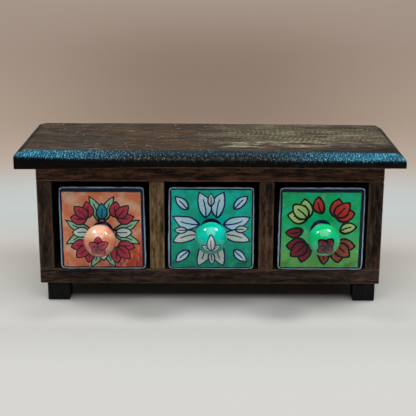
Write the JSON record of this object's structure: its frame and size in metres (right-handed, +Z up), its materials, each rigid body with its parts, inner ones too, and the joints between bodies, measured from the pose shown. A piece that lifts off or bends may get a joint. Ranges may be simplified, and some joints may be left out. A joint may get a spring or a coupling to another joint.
{
  "type": "chest of small drawers",
  "caption": "Low wooden chest with an overhanging bevelled lid, block feet and a row of glazed ceramic drawers with ball knobs, for small craft parts.",
  "frame": {"origin": "bottom centre of the box round the whole object, knobs included", "axes": "+X to the right along the length, +Y to the back, +Z up; the drawers face -Y"},
  "size_m": [0.254, 0.1204, 0.1065],
  "materials": {
    "lid_wood": "dark stained, worn, with distressed turquoise paint on the front bevel",
    "frame_wood": "dark stained, waxed and worn",
    "divider_wood": "stained a little lighter, worn",
    "panel_wood": "dark stained, unpolished",
    "foot_wood": "blackened",
    "steel": "plain wire nails and screws",
    "glaze_left": "glossy clear glaze over a hand-painted coral field with a white rim",
    "glaze_middle": "glossy clear glaze over a hand-painted teal field with a white rim",
    "glaze_right": "glossy clear glaze over a hand-painted green field with a white rim"
  },
  "bodies": {
    "case": {"bottom_board": "frame_wood", "top_board": "frame_wood", "left_side": "frame_wood", "left_divider": "divider_wood", "right_divider": "divider_wood", "right_side": "frame_wood", "back_panel": "panel_wood", "lid": "lid_wood", "foot_front_left": "foot_wood", "foot_front_right": "foot_wood", "foot_back_left": "foot_wood", "foot_back_right": "foot_wood", "top_board_nails": "steel", "bottom_board_nails": "steel", "back_panel_pins": "steel", "foot_nails": "steel", "lid_screws": "steel"},
    "drawer_left": {"drawer_left_tub": "glaze_left", "drawer_left_knob": "glaze_left"},
    "drawer_middle": {"drawer_middle_tub": "glaze_middle", "drawer_middle_knob": "glaze_middle"},
    "drawer_right": {"drawer_right_tub": "glaze_right", "drawer_right_knob": "glaze_right"}
  },
  "joints": [
    {"name": "drawer_left_slide", "type": "slide", "parent": "case", "child": "drawer_left", "axis": [0, -1, 0], "range_m": [0, 0.06]},
    {"name": "drawer_middle_slide", "type": "slide", "parent": "case", "child": "drawer_middle", "axis": [0, -1, 0], "range_m": [0, 0.06]},
    {"name": "drawer_right_slide", "type": "slide", "parent": "case", "child": "drawer_right", "axis": [0, -1, 0], "range_m": [0, 0.06]}
  ]
}
